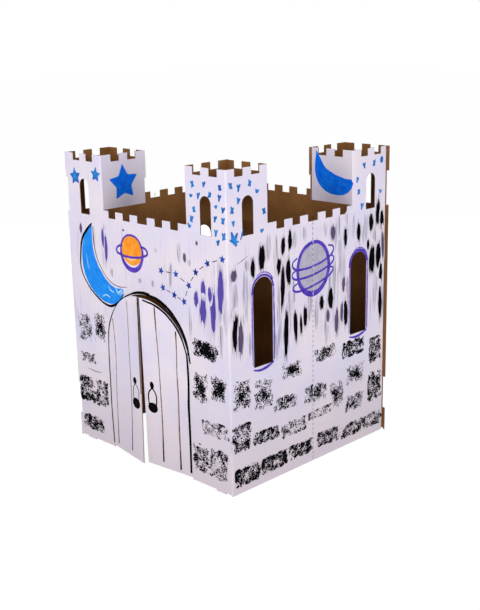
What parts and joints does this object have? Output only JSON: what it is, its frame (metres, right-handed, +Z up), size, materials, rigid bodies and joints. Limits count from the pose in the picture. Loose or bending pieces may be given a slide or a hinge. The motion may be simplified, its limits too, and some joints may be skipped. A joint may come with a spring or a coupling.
{
  "type": "cardboard play castle",
  "caption": "Child's walk-in play castle of folded corrugated board, with three corner towers, battlements, arched windows and a double-leaf arched doorway front and back.",
  "frame": {"origin": "on the ground, below the middle of the bounding box with the front door leaves ajar as modelled", "axes": "+Z up along the towers, the front doorway faces -Y, the near window wall faces +X"},
  "size_m": [0.924, 0.9378, 1.2],
  "materials": {
    "white_faced_board": "single-wall corrugated board, white paper liner outside, brown kraft liner inside, poster paint in blue, purple, grey, orange and black"
  },
  "bodies": {
    "castle": {"front_sheet": "white_faced_board", "rear_sheet": "white_faced_board"},
    "front_left_leaf": {"front_left_door": "white_faced_board"},
    "front_right_leaf": {"front_right_door": "white_faced_board"},
    "rear_left_leaf": {"rear_left_door": "white_faced_board"},
    "rear_right_leaf": {"rear_right_door": "white_faced_board"}
  },
  "joints": [
    {"name": "front_left_hinge", "type": "hinge", "parent": "castle", "child": "front_left_leaf", "pos_m": [-0.237, -0.43113, 0], "axis": [0, 0, -1], "range_deg": [-9.2, 125.8]},
    {"name": "front_right_hinge", "type": "hinge", "parent": "castle", "child": "front_right_leaf", "pos_m": [0.237, -0.43113, 0], "axis": [0, 0, 1], "range_deg": [-6.8, 128.2]},
    {"name": "rear_left_hinge", "type": "hinge", "parent": "castle", "child": "rear_left_leaf", "pos_m": [0.237, 0.46887, 0], "axis": [0, 0, -1], "range_deg": [0, 135]},
    {"name": "rear_right_hinge", "type": "hinge", "parent": "castle", "child": "rear_right_leaf", "pos_m": [-0.237, 0.46887, 0], "axis": [0, 0, 1], "range_deg": [0, 135]}
  ]
}
